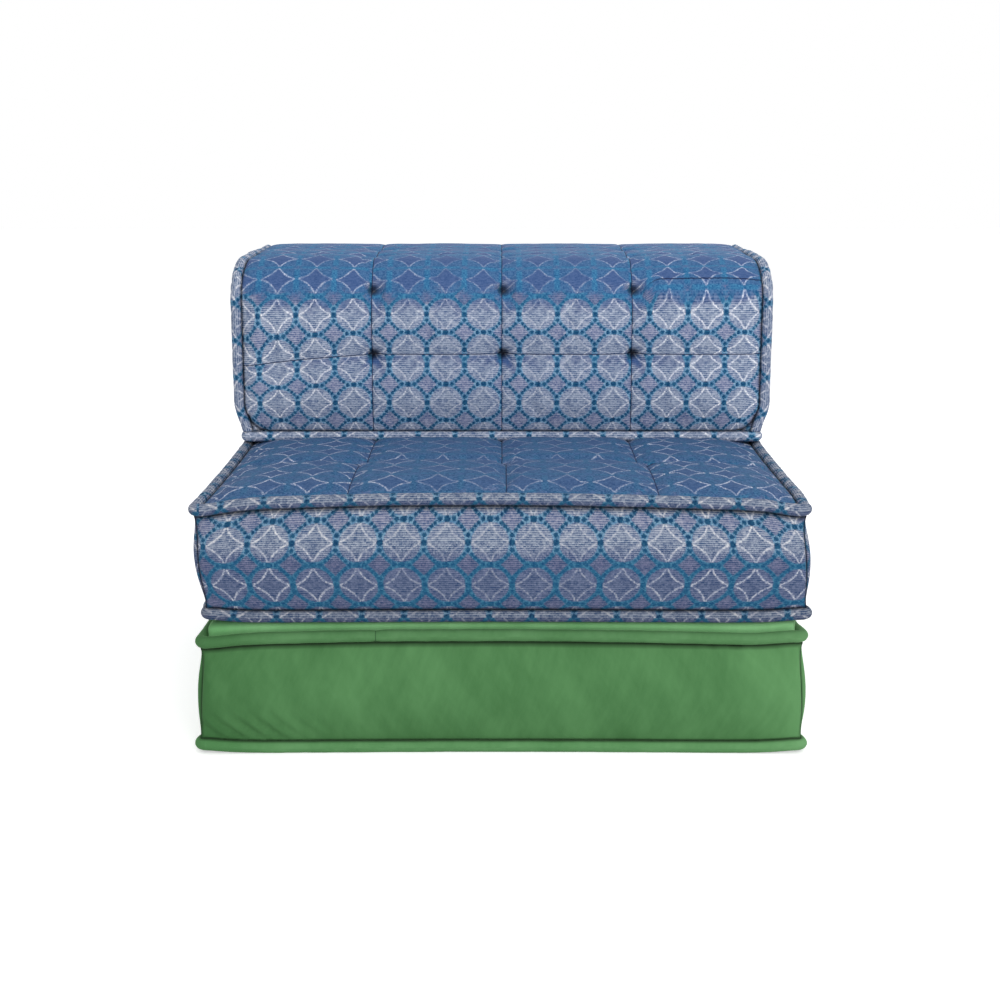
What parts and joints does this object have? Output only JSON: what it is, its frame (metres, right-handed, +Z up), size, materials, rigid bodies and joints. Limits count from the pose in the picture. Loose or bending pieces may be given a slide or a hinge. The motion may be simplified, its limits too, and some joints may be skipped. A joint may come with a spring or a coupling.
{
  "type": "modular sectional sofa",
  "caption": "Seat module of a modular floor sofa: a plain base mattress, a tufted seat mattress and a rounded tufted back bolster, stacked loose.",
  "frame": {"origin": "on the floor under the middle of the base mattress", "axes": "+X to the right as seen from the front, +Y to the rear, +Z up"},
  "size_m": [1.0136, 1.0137, 0.7856],
  "materials": {
    "green_velvet": "short pile velvet",
    "blue_jacquard": "satin jacquard",
    "foam": "open cell foam",
    "tufting_twine": "waxed twine",
    "zip_tape": "woven tape",
    "zip_teeth": "matte",
    "zip_metal": "satin nickel"
  },
  "bodies": {
    "base": {"base_foam_core": "foam", "base_top_panel": "green_velvet", "base_bottom_panel": "green_velvet", "base_front_band": "green_velvet", "base_left_band": "green_velvet", "base_right_band": "green_velvet", "base_rear_band_upper": "green_velvet", "base_rear_band_lower": "green_velvet", "base_top_roll": "green_velvet", "base_bottom_roll": "green_velvet", "base_zip_tape": "zip_tape", "base_zip_teeth": "zip_teeth"},
    "seat": {"seat_foam_core": "foam", "seat_top_panel": "blue_jacquard", "seat_bottom_panel": "blue_jacquard", "seat_front_band": "blue_jacquard", "seat_left_band": "blue_jacquard", "seat_right_band": "blue_jacquard", "seat_rear_band_upper": "blue_jacquard", "seat_rear_band_lower": "blue_jacquard", "seat_top_roll": "blue_jacquard", "seat_bottom_roll": "blue_jacquard", "seat_tuft_twines": "tufting_twine", "seat_zip_tape": "zip_tape", "seat_zip_teeth": "zip_teeth"},
    "back": {"back_foam_core": "foam", "back_quilted_panel": "blue_jacquard", "back_left_end_panel": "blue_jacquard", "back_right_end_panel": "blue_jacquard", "back_rear_panel_upper": "blue_jacquard", "back_rear_panel_lower": "blue_jacquard", "back_bottom_panel": "blue_jacquard", "back_left_roll": "blue_jacquard", "back_right_roll": "blue_jacquard", "back_bottom_roll": "blue_jacquard", "back_tuft_twines": "tufting_twine", "back_zip_tape": "zip_tape", "back_zip_teeth": "zip_teeth"},
    "base_slider": {"base_zip_slider": "zip_metal"},
    "base_pull": {"base_zip_pull": "zip_metal"},
    "seat_slider": {"seat_zip_slider": "zip_metal"},
    "seat_pull": {"seat_zip_pull": "zip_metal"},
    "back_slider": {"back_zip_slider": "zip_metal"},
    "back_pull": {"back_zip_pull": "zip_metal"}
  },
  "joints": [
    {"name": "seat_lift", "type": "slide", "parent": "base", "child": "seat", "axis": [0, 0, 1], "range_m": [0, 0.35]},
    {"name": "back_lift", "type": "slide", "parent": "seat", "child": "back", "axis": [0, 0, 1], "range_m": [0, 0.45]},
    {"name": "base_zip", "type": "slide", "parent": "base", "child": "base_slider", "axis": [1, 0, 0], "range_m": [0, 0.636]},
    {"name": "base_pull_swing", "type": "hinge", "parent": "base_slider", "child": "base_pull", "pos_m": [-0.318, 0.5048, 0.1033], "axis": [0, 0, 1], "range_deg": [0, 170]},
    {"name": "seat_zip", "type": "slide", "parent": "seat", "child": "seat_slider", "axis": [1, 0, 0], "range_m": [0, 0.636]},
    {"name": "seat_pull_swing", "type": "hinge", "parent": "seat_slider", "child": "seat_pull", "pos_m": [-0.318, 0.5048, 0.3304], "axis": [0, 0, 1], "range_deg": [0, 170]},
    {"name": "back_zip", "type": "slide", "parent": "back", "child": "back_slider", "axis": [1, 0, 0], "range_m": [0, 0.658]},
    {"name": "back_pull_swing", "type": "hinge", "parent": "back_slider", "child": "back_pull", "pos_m": [-0.329, 0.4968, 0.526], "axis": [0, 0, 1], "range_deg": [0, 170]}
  ]
}
